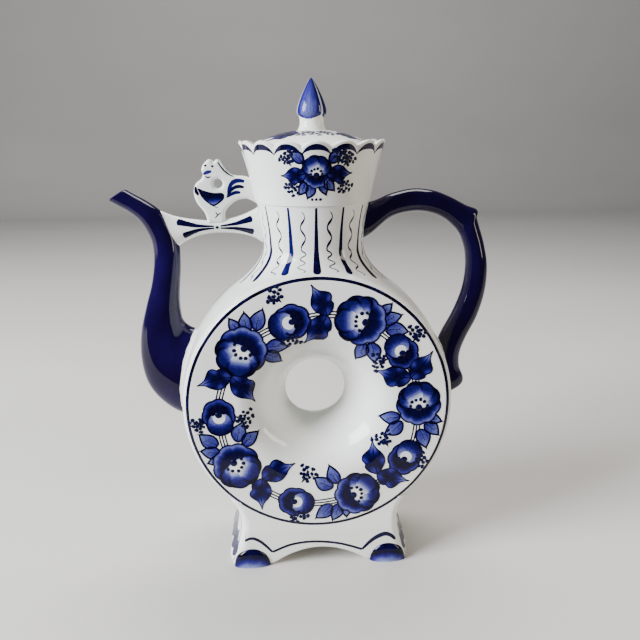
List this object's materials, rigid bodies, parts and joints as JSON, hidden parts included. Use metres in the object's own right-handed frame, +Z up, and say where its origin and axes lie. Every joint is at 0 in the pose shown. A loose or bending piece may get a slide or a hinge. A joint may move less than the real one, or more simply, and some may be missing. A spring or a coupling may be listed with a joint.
{
  "type": "ring-bodied porcelain teapot",
  "caption": "Upright hollow ring teapot on an arched stand, with scalloped collar, domed lift-off lid, curved spout tied to the neck by a bridge with a rooster, and loop handle.",
  "frame": {"origin": "on the table plane, midway between the four feet and below the ring's centre", "axes": "+Z up; the ring's axis is Y with the front face towards -Y; the spout points to -X and the handle to +X"},
  "size_m": [0.2337, 0.0896, 0.3001],
  "materials": {
    "white_glaze": "clear gloss glaze over white porcelain, hand-painted in cobalt",
    "cobalt_glaze": "solid cobalt under clear gloss glaze",
    "painted_glaze": "cobalt wash graded from dark to pale under clear gloss glaze"
  },
  "bodies": {
    "pot": {"ring_front_face": "white_glaze", "ring_back_face": "white_glaze", "ring_side_band": "white_glaze", "ring_throat": "white_glaze", "neck": "white_glaze", "collar": "white_glaze", "lid_seat": "white_glaze", "stand": "white_glaze", "foot_front_left": "painted_glaze", "foot_front_right": "painted_glaze", "foot_back_left": "painted_glaze", "foot_back_right": "painted_glaze", "spout": "cobalt_glaze", "bridge": "white_glaze", "rooster": "white_glaze", "handle": "cobalt_glaze"},
    "lid": {"lid_dome": "white_glaze", "lid_flange": "white_glaze", "finial": "painted_glaze"}
  },
  "joints": [
    {"name": "lid_lift", "type": "slide", "parent": "pot", "child": "lid", "axis": [0, 0, 1], "range_m": [0, 0.06]}
  ]
}
